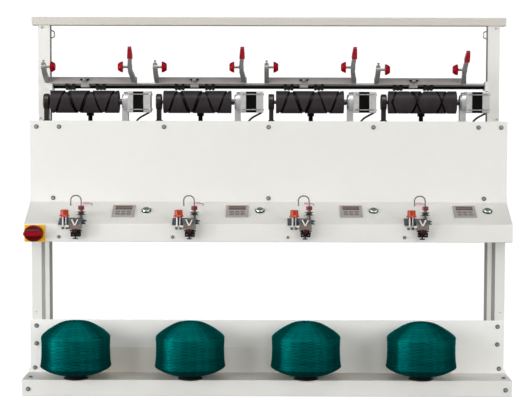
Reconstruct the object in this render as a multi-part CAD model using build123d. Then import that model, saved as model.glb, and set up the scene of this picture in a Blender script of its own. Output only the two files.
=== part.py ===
from build123d import *
import os
import math

os.makedirs("parts", exist_ok=True)

# ----------------------------------------------------------------------
# Four-station yarn winding machine. Millimetres, +Z up, +X to the right of
# a person in front of it, +Y to the rear. Everything is laid out from the
# front face of the bottom tray (Y = 0) and moved by Y_SHIFT on writing, so
# that the origin is the bottom centre of the whole machine.
# ----------------------------------------------------------------------

# stations
STATION_X = [-747.6, -290.0, 167.6, 625.2]      # drum and cradle centres
TENSION_X = [-806.9, -355.6, 102.3, 565.4]      # tension unit centres
METER_X = [-582.5, -125.5, 332.1, 788.7]        # panel meter centres
BUTTON_X = [-491.8, -34.4, 423.0, 881.6]        # push button centres
PACKAGE_X = [-771.1, -312.6, 151.9, 613.6]      # yarn package centres

# frame
FRONT_POST_Y = (187.0, 285.0)
REAR_POST_Y = (404.0, 494.0)
POST_X_IN, POST_X_OUT = 929.0, 969.0
DECK_Z = 1090.0
TOP_Z = 1529.5
BEAM_X = 994.0
REAR_Y = 498.5
SHEET = 2.0

# winding head
DRUM_R = 45.6
DRUM_L = 276.0
DRUM_Y, DRUM_Z = 203.0, 1175.2
GROOVE_TRAVERSE = 250.0
GROOVE_PITCH = 100.0
SHAFT_R = 7.5
FIT = 0.05                                       # running clearance on radius
MOTOR_S = 86.0                                   # motor square
CABLE_R = 4.0

# cradle
PIV_Y, PIV_Z = 380.0, 1249.0                     # cradle shaft axis
CRADLE_SHAFT_R = 6.0
CONE_Y, CONE_Z = 250.0, 1318.2                   # tube cone axis
CONE_BASE = 148.5                                # cone base from the centre
CRADLE_DROP = [0.0, 0.0, 0.0, 4.0]               # degrees each one hangs lower

# shelf slope
SL_B = (164.0, 769.0)                            # Y, Z of the slope's rear edge
SL_C = (6.0, 691.5)                              # Y, Z of its front edge
SLOPE = math.degrees(math.atan2(SL_B[1] - SL_C[1], SL_B[0] - SL_C[0]))

# front flange of the tension units, its front face
FLANGE_Y = -0.5

# yarn package
PKG_Y = 35.0
PKG_R = 142.0
TRAY_CREASE_Y = 174.0
TRAY_Z = 67.0
TRAY_DX = -5.0                                   # the tray sits a little to the left
FOOT_Y = (46.0, 470.0)

Y_SHIFT = -(PKG_Y - PKG_R + REAR_Y) / 2.0


# ---------------------------------------------------------------- helpers
def bx(x0, x1, y0, y1, z0, z1):
    return Pos((x0 + x1) / 2, (y0 + y1) / 2, (z0 + z1) / 2) * Box(
        abs(x1 - x0), abs(y1 - y0), abs(z1 - z0))


def cx(x0, x1, y, z, r):
    return Pos((x0 + x1) / 2, y, z) * Rot(0, 90, 0) * Cylinder(r, abs(x1 - x0))


def cy(x, y0, y1, z, r):
    return Pos(x, (y0 + y1) / 2, z) * Rot(90, 0, 0) * Cylinder(r, abs(y1 - y0))


def cz(x, y, z0, z1, r, r2=None):
    if r2 is None:
        return Pos(x, y, (z0 + z1) / 2) * Cylinder(r, abs(z1 - z0))
    return Pos(x, y, (z0 + z1) / 2) * Cone(r, r2, abs(z1 - z0))


def prof_yz(pts, x0, x1):
    """Closed profile of (y, z) points, extruded along X."""
    pl = Plane(origin=(x0, 0, 0), x_dir=(0, 1, 0), z_dir=(1, 0, 0))
    face = make_face(Polyline(*[(p[0], p[1]) for p in pts], close=True).edges())
    return extrude(pl * face, x1 - x0)


def prof_xz(pts, y0, y1):
    """Closed profile of (x, z) points, extruded along +Y."""
    pl = Plane(origin=(0, y0, 0), x_dir=(1, 0, 0), z_dir=(0, -1, 0))
    face = make_face(Polyline(*[(p[0], p[1]) for p in pts], close=True).edges())
    return extrude(pl * face, -(y1 - y0))


def turned(pts, x, y, z0=0.0):
    """Closed profile of (r, z) points, turned about a vertical axis."""
    face = make_face(Polyline(*[(p[0], p[1]) for p in pts], close=True).edges())
    solid = revolve(Plane.XZ * face, Axis.Z)
    return Pos(x, y, z0) * solid


def on_slope(x, y, lift=0.0):
    """Plane on the sloped top at plan position x, y: z out of the slope."""
    z = SL_C[1] + (y - SL_C[0]) * math.tan(math.radians(SLOPE))
    a = math.radians(SLOPE)
    n = Vector(0, -math.sin(a), math.cos(a))
    o = Vector(x, y, z) + n * lift
    return Plane(origin=o, x_dir=Vector(1, 0, 0), z_dir=n)


def sheet_strip(pts, t, x0, x1, bend=1.2):
    """Folded sheet: outer line of (y, z) points, thickness t to the left of
    the direction of travel, inside bend radius given, extruded along X."""
    n = len(pts)
    off, r_line, r_off = [], [], []
    for i in range(n):
        def seg(k):
            dy = pts[k + 1][0] - pts[k][0]
            dz = pts[k + 1][1] - pts[k][1]
            ln = math.hypot(dy, dz)
            return dy / ln, dz / ln
        if i == 0 or i == n - 1:
            d = seg(0) if i == 0 else seg(n - 2)
            off.append((pts[i][0] - d[1] * t, pts[i][1] + d[0] * t))
        else:
            a, b = seg(i - 1), seg(i)
            na, nb = (-a[1], a[0]), (-b[1], b[0])
            k = t / (1 + na[0] * nb[0] + na[1] * nb[1])
            off.append((pts[i][0] + (na[0] + nb[0]) * k, pts[i][1] + (na[1] + nb[1]) * k))
            left = a[0] * b[1] - a[1] * b[0] > 0
            r_line.append(bend + t if left else bend)
            r_off.append(bend if left else bend + t)
    outer = FilletPolyline(*[(p[0], p[1]) for p in pts], radius=r_line)
    inner = FilletPolyline(*[(p[0], p[1]) for p in off], radius=r_off)
    ends = [Line(pts[0], off[0]), Line(pts[-1], off[-1])]
    face = make_face(list(outer.edges()) + list(inner.edges()) + ends)
    pl = Plane(origin=(x0, 0, 0), x_dir=(0, 1, 0), z_dir=(1, 0, 0))
    return extrude(pl * face, x1 - x0)


def rect_sec(x, y, z, ang, w, t):
    """Rectangular section w along X and t across, its normal in the YZ plane
    at ang degrees above -Y (0 points to the front, 90 points up)."""
    a = math.radians(ang)
    d = Vector(0, -math.cos(a), math.sin(a))
    pl = Plane(origin=(x, y, z), x_dir=(1, 0, 0), z_dir=d)
    return pl * Rectangle(w, t)


def tilt(shape, deg):
    """Turn about the cradle shaft; positive lowers the front."""
    if abs(deg) < 1e-9:
        return shape
    return Pos(0, PIV_Y, PIV_Z) * Rot(deg, 0, 0) * Pos(0, -PIV_Y, -PIV_Z) * shape


def flat(*shapes):
    out = []
    for s in shapes:
        if isinstance(s, (list, tuple)):
            out += flat(*s)
        else:
            out += list(s.solids())
    return out


NODES = {}


def node(name, *shapes):
    solids = flat(*shapes)
    moved = [Pos(0, Y_SHIFT, 0) * s for s in solids]
    NODES[name] = moved
    c = moved[0] if len(moved) == 1 else Compound(children=moved)
    export_step(c, "parts/" + name + ".step")


# ---------------------------------------------------------------- fasteners
BOLTS = []          # (shape) button-head bolts, one solid each


def bolt(x, y, z, d, grip=6.0, r=7.0, w=9.0, sr=4.0):
    """Button-head bolt with its washer face. Head at (x, y, z) on the sheet,
    d is the outward direction, grip the shank length below the face."""
    pl = Plane(origin=(x, y, z), z_dir=d)
    washer = Pos(0, 0, 0.8) * Cylinder(w, 1.6)
    head = Pos(0, 0, 1.6 + 2.0) * Cylinder(r, 4.0)
    head = fillet(head.edges().filter_by(GeomType.CIRCLE).sort_by(Axis.Z)[-1], min(2.6, 0.38 * r))
    sock = Pos(0, 0, 4.4) * extrude(RegularPolygon(min(2.6, 0.42 * r), 6), 2.0)
    shank = Pos(0, 0, -grip / 2) * Cylinder(sr, grip)
    BOLTS.append(pl * (washer + head - sock + shank))


def hole(x, y, z, d, length, r=4.5):
    """Tool for a clearance hole, from 3 mm outside the face inward."""
    pl = Plane(origin=(x, y, z), z_dir=d)
    return pl * (Pos(0, 0, (3.0 - length) / 2) * Cylinder(r, length + 3.0))


FRONT = (0, -1, 0)
UP = (0, 0, 1)

panel_bolts = [(sx * v, 162.0, 1074.0) for v in (942.5, 850.4, 424.7) for sx in (-1, 1)]
panel_bolts += [(0.0, 162.0, 1074.0)]
panel_low = [(-875.7, 162.0, 785.0), (0.0, 162.0, 785.0), (875.7, 162.0, 785.0)]
for b in panel_bolts:
    bolt(*b, FRONT, grip=9.0)
for b in panel_low:
    bolt(*b, FRONT, grip=11.0)
panel_holes = [hole(*b, FRONT, 8) for b in panel_bolts + panel_low]

# ---------------------------------------------------------------- end frames
def end_frame(s):
    xi, xo = s * POST_X_IN, s * POST_X_OUT
    f = bx(xi, xo, *FRONT_POST_Y, 40, 1087)
    f += bx(xi, xo, *REAR_POST_Y, 40, 1087)
    f += bx(xi, xo, 6, REAR_POST_Y[1], 14, 65)              # foot rail
    f += bx(xi, xo, FRONT_POST_Y[0], REAR_POST_Y[1], 1040, 1087)  # top rail
    t = 2.5
    xi2, xo2 = s * (POST_X_IN + t), s * (POST_X_OUT - t)
    h = bx(xi2, xo2, FRONT_POST_Y[0] + t, FRONT_POST_Y[1] - t, 30, 1084.5)
    h += bx(xi2, xo2, REAR_POST_Y[0] + t, REAR_POST_Y[1] - t, 30, 1084.5)
    h += bx(xi2, xo2, 8.5, REAR_POST_Y[1] - t, 16.5, 62.5)
    h += bx(xi2, xo2, 200, REAR_POST_Y[1] - t, 1042.5, 1084.5)
    f -= h
    # closing plate between the posts beside the cabinet, one weld with them
    xm = s * 947.0
    f += bx(xm, xm + s * 2.0, FRONT_POST_Y[1] - 1.0, REAR_POST_Y[0] + 1.0, 758, 1041)
    # stem holes of the levelling feet, bolt holes and the small front hole
    for y in FOOT_Y:
        f -= cz(s * 949.0, y, 10, 20, 6.5)
    for z in (257.5, 184.0):
        f -= cy(s * 946.5 + TRAY_DX, 180, 192, z, 4.5)
    f -= cy(s * 951.0, 180, 192, 315.6, 2.6)
    f -= cz(s * 953.0 + TRAY_DX, 56.0, 60, 68, 4.5)
    f -= cy(s * 953.0 + TRAY_DX, 2, 10, 30.0, 4.5)
    return f


left_frame, right_frame = end_frame(-1), end_frame(1)
node("end_frames", left_frame, right_frame)

# levelling feet: pad, stem and nut in one turned piece each
feet = []
for sx in (-1, 1):
    for y in FOOT_Y:
        x = sx * 949.0
        feet.append(cz(x, y, 0, 6, 18) + cz(x, y, 6, 10, 14, 8) + cz(x, y, 10, 40, 6.0)
                    + Pos(x, y, 10) * extrude(RegularPolygon(10, 6), 4.0))
node("levelling_feet", feet)

# ---------------------------------------------------------------- upper posts
def upper_post(s):
    x0, x1 = s * 920.0, s * 970.0
    p = bx(x0, x1, 404, 452, DECK_Z, 1496)
    p -= bx(s * 922.5, s * 967.5, 406.5, 449.5, DECK_Z + 3, 1493)
    # opening in the foot plate for the fixing nut, and front holes
    p -= cz(s * 945.0, 428.0, DECK_Z - 1, DECK_Z + 4, 7.0)
    p -= cy(s * 953.0, 400, 408, 1486.0, 3.2)
    p -= cy(s * 962.0, 400, 408, 1106.0, 3.2)
    # steel loop welded to the inner face
    path = FilletPolyline((s * 920.5, 0, 1477), (s * 904.5, 0, 1470), (s * 904.5, 0, 1449),
                          (s * 920.5, 0, 1442), radius=6)
    path = Pos(0, 428, 0) * path
    pl = Plane(origin=path @ 0, z_dir=path % 0)
    loop = sweep(pl * Circle(2.6), path=path)
    return p + loop


node("upper_posts", upper_post(-1), upper_post(1))

# ---------------------------------------------------------------- top beam
beam = bx(-BEAM_X, BEAM_X, 388, 450, 1496, TOP_Z)
beam = fillet(beam.edges().filter_by(Axis.X).sort_by(Axis.Y)[:2], 3.0)
beam -= bx(-BEAM_X + 2, BEAM_X - 2, 390.4, 451, 1498.4, TOP_Z - 2.4)
node("top_beam", beam)

# ---------------------------------------------------------------- cabinet shell
# one folded sheet: front flange, deck, rear wall, floor, lower front flange
shell = bx(-966, 966, 164, REAR_Y, DECK_Z - 3, DECK_Z)
shell += bx(-966, 966, 164, 166, 1050, DECK_Z - 3)
shell += bx(-966, 966, REAR_Y - 2, REAR_Y, 758, DECK_Z - 3)
shell += bx(-926.5, 926.5, 166, REAR_Y - 2, 758, 760)
shell += bx(-926.5, 926.5, 166, 168, 760, 800)
cable_pts = []
for xs in STATION_X:
    xr = xs + DRUM_L / 2 + 130.0                # motor rear face
    cable_pts.append([(xr - 6, DRUM_Y, 1133.0), (xr - 56, DRUM_Y, 1106.0),
                      (xr - 74, DRUM_Y, 1066.0), (xr - 76, DRUM_Y, 1008.0)])
    shell -= cz(xr - 63.0, DRUM_Y, DECK_Z - 8, DECK_Z + 2, 13.0)
for h in panel_holes:
    shell -= h
for sx in (-1, 1):
    shell -= cz(sx * 945.0, 428.0, DECK_Z - 6, DECK_Z + 2, 7.0)
# louvres in the rear wall
for xs in STATION_X:
    for k in range(6):
        shell -= bx(xs - 60, xs + 60, REAR_Y - 5, REAR_Y + 2, 840 + k * 16, 845 + k * 16)
node("cabinet_shell", shell)

# ---------------------------------------------------------------- front panel
panel = bx(-966, 966, 162, 164, 769.5, 1098)
panel += bx(-966, 966, 164, 178, 1096, 1098)
for sx in (-1, 1):
    panel += bx(sx * 966.0, sx * 968.0, 162, 186.5, 802, 1098)
for h in panel_holes:
    panel -= h
node("front_panel", panel)

# ---------------------------------------------------------------- control shelf
line = [(164, 800), SL_B, SL_C, (6, 620), (46, 620)]
shelf = sheet_strip(line, SHEET, -969, 969)
side = [(6, 620), SL_C, SL_B, (164, 772), (186.5, 772), (186.5, 650), (46, 620)]
for sx in (-1, 1):
    a, b = (967, 969) if sx > 0 else (-969, -967)
    shelf += prof_yz(side, a, b)
    fa, fb = (931, 967.5) if sx > 0 else (-967.5, -931)
    shelf += bx(fa, fb, 184.5, 186.5, 655, 755)
for h in panel_holes:
    shelf -= h
# cut-outs for the meters and buttons, and screw holes in the front face
for x in METER_X:
    shelf -= on_slope(x, 92.8) * Box(84, 78, 12)
for x in BUTTON_X:
    shelf -= on_slope(x, 100.0) * Cylinder(14.2, 12)
shelf -= cy(-926.6, 0, 12, 653.5, 18.5)
ten_screws = []
for x in TENSION_X:
    ten_screws += [(x - 25.0, 6.0, 639.4), (x - 10.0, 6.0, 674.5), (x + 7.0, 6.0, 674.5)]
for t in ten_screws:
    shelf -= cy(t[0], 0, 12, t[2], 2.6)
node("control_shelf", shelf)

# ---------------------------------------------------------------- tray
line = [(185, 283), (185, 172), (TRAY_CREASE_Y, TRAY_Z), (0, TRAY_Z), (0, 2), (20, 2)]
tray = sheet_strip(line, SHEET, TRAY_DX - 979, TRAY_DX + 979)
for sx in (-1, 1):
    # the upturned back is narrower than the tray
    a, b = (972, 985) if sx > 0 else (-985, -972)
    tray -= bx(a + TRAY_DX, b + TRAY_DX, TRAY_CREASE_Y - 2, 190, 80, 290)
tray_bolts = []
for sx in (-1, 1):
    ua, ub = sx * 946.5 + TRAY_DX, sx * 953.0 + TRAY_DX
    tray_bolts += [((ua, 185, 257.5), FRONT, 10), ((ua, 185, 184.0), FRONT, 10),
                   ((ub, 56.0, TRAY_Z), UP, 9), ((ub, 0.0, 30.0), FRONT, 12)]
lean = 185.0 - TRAY_CREASE_Y
sl_n = (0, -math.cos(math.atan2(lean, 105)), math.sin(math.atan2(lean, 105)))
for (p, d, g) in tray_bolts:
    bolt(*p, d, grip=g)
    tray -= hole(*p, d, 6)
for sx in (-1, 1):
    p = (sx * 953.0 + TRAY_DX, TRAY_CREASE_Y + lean * (18.0 / 105.0), TRAY_Z + 18.0)
    bolt(*p, sl_n, grip=4.0)
    tray -= hole(*p, sl_n, 6)
node("tray", tray)

# post screws (small) and holder screws share the bolt node's form
for sx in (-1, 1):
    bolt(sx * 953.0, 404.0, 1486.0, FRONT, grip=6, r=4.2, w=4.6, sr=2.8)
    bolt(sx * 962.0, 404.0, 1106.0, FRONT, grip=6, r=4.2, w=4.6, sr=2.8)
for k, t in enumerate(ten_screws):
    big = k % 3 == 0 and k != 6
    bolt(*t, FRONT, grip=5, r=5.8 if big else 4.4, w=6.8 if big else 5.2, sr=2.4)

# ---------------------------------------------------------------- cradle shaft, rail, holders
node("cradle_shaft", cx(-914, 914, PIV_Y, PIV_Z, CRADLE_SHAFT_R))
RAIL_Y = (398.0, 410.0)
RAIL_Z = (1231.0, 1247.0)
node("support_rail", bx(-906, 906, *RAIL_Y, *RAIL_Z))
holders = []
for sx in (-1, 1):
    h = bx(sx * 906.0, sx * 919.8, 366, 440, 1224, 1256)
    h += cx(sx * 906.0, sx * 919.8, PIV_Y, 1250, 14)
    h -= cx(sx * 905.0, sx * 915.0, PIV_Y, PIV_Z, CRADLE_SHAFT_R + 0.02)
    holders.append(h)
    bolt(sx * 913.0, 425.0, 1256.0, UP, grip=0.001 + 5, r=4.2, w=5.0, sr=2.4)
    holders[-1] -= cz(sx * 913.0, 425.0, 1248, 1258, 2.6)
node("rail_end_holders", holders)

# black cast hangers that carry the shaft on the rail: two rings round the
# shaft, a web behind it, and a scalloped foot that grips under the rail
hangers = []
for xs in STATION_X:
    for dx in (-84.0, 43.0):
        xc = xs + dx
        h = bx(xc - 20, xc + 20, PIV_Y + 5, RAIL_Y[0], RAIL_Z[0], 1257)
        h += bx(xc - 20, xc + 20, PIV_Y - 8, RAIL_Y[1], 1227.5, RAIL_Z[0])
        for k in (-14.0, 14.0):
            h += cx(xc + k - 6, xc + k + 6, PIV_Y, PIV_Z, 11.5)
            h += bx(xc + k - 4, xc + k + 4, PIV_Y - 6, PIV_Y + 6, 1229, 1240)
        for k in (-14.0, 0.0, 14.0):
            h += cy(xc + k, PIV_Y - 8, RAIL_Y[1], 1229.5, 5.5) - bx(
                xc - 40, xc + 40, PIV_Y - 9, RAIL_Y[1] + 1, RAIL_Z[0] - 0.1, 1260)
        h -= cx(xc - 22, xc + 22, PIV_Y, PIV_Z, CRADLE_SHAFT_R + 0.02)
        hangers.append(h)
node("shaft_hangers", hangers)

# ---------------------------------------------------------------- drums
def groove_tool(left, dep, w, out, z0=-GROOVE_TRAVERSE / 2, z1=GROOVE_TRAVERSE / 2):
    """Helical groove cutter, w wide and dep deep, from z0 to z1 of the traverse."""
    a = 360.0 * (z0 + GROOVE_TRAVERSE / 2) / GROOVE_PITCH * (-1 if left else 1)
    h = Pos(0, 0, z0) * Rot(0, 0, a) * Helix(
        pitch=GROOVE_PITCH, height=z1 - z0, radius=DRUM_R, lefthand=left)
    out_dir = Vector(math.cos(math.radians(a)), math.sin(math.radians(a)), 0)
    pl = Plane(origin=h @ 0, x_dir=out_dir, z_dir=h % 0)
    sec = pl * Pos((out - dep) / 2, 0, 0) * Rectangle(out + dep, w)
    return sweep(sec, path=h, is_frenet=True)


def drum_shell():
    d = Cylinder(DRUM_R, DRUM_L)
    d = chamfer(d.edges().filter_by(GeomType.CIRCLE), 1.0)
    # bearing-side recess and hub: a cup open to the right end, its left end
    # wall 12 mm thick, the hub running the whole length
    d -= Pos(0, 0, 12) * (Cylinder(35, DRUM_L) - Cylinder(13, DRUM_L + 2))
    d -= Cylinder(SHAFT_R + 0.02, DRUM_L + 2)
    d -= groove_tool(True, 6.0, 9.0, 3.0)       # wide forward groove
    d -= groove_tool(False, 5.2, 7.5, 3.7)      # return groove
    # both are wider where they cross in the middle of the traverse
    d -= groove_tool(True, 4.4, 14.0, 4.1, -20.0, 38.0)
    d -= groove_tool(False, 4.3, 14.0, 4.2, -88.0, -30.0)
    for z, a in ((-GROOVE_TRAVERSE / 2, 0), (GROOVE_TRAVERSE / 2, 180)):
        d -= Rot(0, 0, a) * Pos(DRUM_R - 1.4, 0, z) * Rot(0, 90, 0) * Cylinder(5.2, 8.4)
    return d


DRUM = drum_shell()
print("drum volume", round(DRUM.volume), "solids", len(DRUM.solids()), "valid", DRUM.is_valid)
BR_T = 24.0                                     # bearing bracket thickness
brackets, bearings, mbrackets, stators, caps = [], [], [], [], []
LONG_BOLTS = []


def ball_bearing(x0):
    """Closed deep-groove bearing, 9 wide, bore for the 15 mm shaft."""
    b = cx(x0, x0 + 9, DRUM_Y, DRUM_Z, 16.0) - cx(x0 - 1, x0 + 10, DRUM_Y, DRUM_Z, SHAFT_R + FIT)
    for xx in (x0, x0 + 9):
        b -= cx(xx - 0.8, xx + 0.8, DRUM_Y, DRUM_Z, 13.5) - cx(xx - 1, xx + 1, DRUM_Y, DRUM_Z, 10.5)
    return b


for i, xs in enumerate(STATION_X):
    xl, xr = xs - DRUM_L / 2, xs + DRUM_L / 2
    # the drum on the fourth station has stopped a quarter turn back
    turn = -90.0 if i == 3 else 0.0
    drum = Pos(xs, DRUM_Y, DRUM_Z) * Rot(turn, 0, 0) * Rot(0, 90, 0) * DRUM
    # left bearing bracket: housing, web and foot in one casting
    b0, b1 = xl - 7.0 - BR_T, xl - 7.0
    br = cx(b0, b1, DRUM_Y, DRUM_Z, 33)
    br = fillet(br.edges().filter_by(GeomType.CIRCLE), 6.0)
    br += bx(b0 + 3, b1 - 3, DRUM_Y - 17, DRUM_Y + 17, 1098, 1150)
    br += bx(b0, b1 + 1, DRUM_Y - 23, DRUM_Y + 32, DECK_Z, 1102)
    br += prof_yz([(DRUM_Y + 16, 1101), (DRUM_Y + 30, 1101), (DRUM_Y + 16, 1130)], b0 + 8, b1 - 8)
    br -= cx(b0 - 1, b0 + 15, DRUM_Y, DRUM_Z, SHAFT_R + 3)
    br -= cx(b0 + 5, b0 + 14, DRUM_Y, DRUM_Z, 16.0)
    br -= cx(b0 + 14, b1 + 1, DRUM_Y, DRUM_Z, 16.0)
    brackets.append(br)
    bearings.append(ball_bearing(b0 + 5))
    # motor bracket: round housing, leg, foot and rib in one casting
    m0 = xr + 13.0                              # casting, left face
    m1 = m0 + 25.0                              # casting to the motor face
    mb = cx(m0, m0 + 8, DRUM_Y, DRUM_Z, 31) + cx(m0 + 8, m1, DRUM_Y, DRUM_Z, 41)
    mb = fillet(mb.edges().filter_by(GeomType.CIRCLE).sort_by(Axis.X)[0], 5.0)
    mb += bx(m0 + 1, m1 - 0, DRUM_Y - 21, DRUM_Y + 21, DECK_Z + 8, 1150)
    mb += bx(m0 - 2, m1 + 2, DRUM_Y - 23, DRUM_Y + 34, DECK_Z, DECK_Z + 9)
    mb -= cx(m0 - 1, m1 + 1, DRUM_Y, DRUM_Z, SHAFT_R + 2)
    mb -= cx(m0 + 8, m1 + 1, DRUM_Y, DRUM_Z, 24)
    mbrackets.append(mb)
    # motor: front cap 22, stator 42, rear cap 28
    s0, s1, s2, s3 = m1, m1 + 22, m1 + 64, m1 + 92

    def square(xa, xb, side):
        h = side / 2
        q = bx(xa, xb, DRUM_Y - h, DRUM_Y + h, DRUM_Z - h, DRUM_Z + h)
        return chamfer(q.edges().filter_by(Axis.X), 5.0)
    fc = square(s0, s1, MOTOR_S)
    rc = square(s2, s3, MOTOR_S)
    st = square(s1, s2, MOTOR_S - 1.0)
    for q in (-1, 1):
        for p in (-1, 1):
            # open slot along the side for the long bolt, its seat at each end
            ya, yb = sorted((DRUM_Y + q * 36.6, DRUM_Y + q * 45.0))
            za, zb = DRUM_Z + p * 31.0 - 3.2, DRUM_Z + p * 31.0 + 3.2
            fc -= bx(s0 + 7, s1 + 1, ya, yb, za, zb)
            st -= bx(s1 - 1, s2 + 1, ya, yb, za, zb)
            rc -= bx(s2 - 1, s3 - 7, ya, yb, za, zb)
            fc -= cx(s0 + 2, s1, DRUM_Y + q * 39.4, DRUM_Z + p * 31.0, 2.4)
            rc -= cx(s2, s3 + 1, DRUM_Y + q * 39.4, DRUM_Z + p * 31.0, 2.4)
            LONG_BOLTS.append(cx(s0 + 2, s3, DRUM_Y + q * 39.4, DRUM_Z + p * 31.0, 2.4)
                              + cx(s3, s3 + 3.2, DRUM_Y + q * 39.4, DRUM_Z + p * 31.0, 3.6))
    fc -= cx(s0 - 1, s1 + 1, DRUM_Y, DRUM_Z, SHAFT_R + 2)
    fc -= cx(s0 + 10, s0 + 19.001, DRUM_Y, DRUM_Z, 16.0)
    fc -= cx(s0 + 19, s1 + 1, DRUM_Y, DRUM_Z, 22.0)
    rc -= cx(s2 - 1, s2 + 17, DRUM_Y, DRUM_Z, SHAFT_R + 2)
    rc -= cx(s2 - 1, s2 + 3, DRUM_Y, DRUM_Z, 22.0)
    rc -= cx(s2 + 2.999, s2 + 12, DRUM_Y, DRUM_Z, 16.0)
    caps += [fc, rc]
    st -= cx(s1 - 1, s2 + 1, DRUM_Y, DRUM_Z, 22.0)
    stators.append(st)
    bearings += [ball_bearing(s0 + 10), ball_bearing(s2 + 3)]
    # one shaft through bracket, drum and motor; collar beside the drum; rotor
    shaft = cx(b0 + 2, s2 + 14, DRUM_Y, DRUM_Z, SHAFT_R)
    shaft += cx(xr + 0.02, xr + 11, DRUM_Y, DRUM_Z, 11.5)
    rotor = cx(s1 + 1, s2 - 1, DRUM_Y, DRUM_Z, 21.4) - cx(s1, s2, DRUM_Y, DRUM_Z, SHAFT_R + 0.02)
    node("drum_%d" % (i + 1), drum, shaft, rotor)

node("bearing_brackets", brackets)
node("ball_bearings", bearings)
node("motor_brackets", mbrackets)
node("motor_stators", stators)
node("motor_end_caps", caps)

# motor cables: from each motor's lower rear edge through the deck to its drive
cables = []
for pts in cable_pts:
    v = [Vector(*p) for p in pts]
    rad = []
    for k in range(1, len(v) - 1):
        a, b = v[k] - v[k - 1], v[k + 1] - v[k]
        turn = math.radians(a.get_angle(b))
        rad.append(0.45 * min(a.length, b.length) / math.tan(turn / 2))
    path = FilletPolyline(*v, radius=rad)
    pl = Plane(origin=path @ 0, z_dir=path % 0)
    c = sweep(pl * Circle(CABLE_R), path=path)
    # the end is let into the motor's lower edge: cut flush with the cap
    cables.append(c)
    if pts is cable_pts[0]:
        print("cable radii", [round(r, 1) for r in rad], "length", round(path.length, 1),
              "volume", round(c.volume, 1), round(math.pi * CABLE_R ** 2 * path.length, 1))
node("motor_cables", [c - caps[2 * k + 1] for k, c in enumerate(cables)])

# short black posts that stand on the deck behind the drums
posts = []
for xs in STATION_X:
    p = cz(xs + 7, 312, DECK_Z, 1118, 9.0)
    p += bx(xs + 7 - 13.5, xs + 7 + 13.5, 296, 328, 1117, 1146)
    p += bx(xs + 7 - 13.5, xs + 7 + 13.5, 300, 324, DECK_Z, DECK_Z + 5)
    posts.append(p)
node("sensor_posts", posts)

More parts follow.
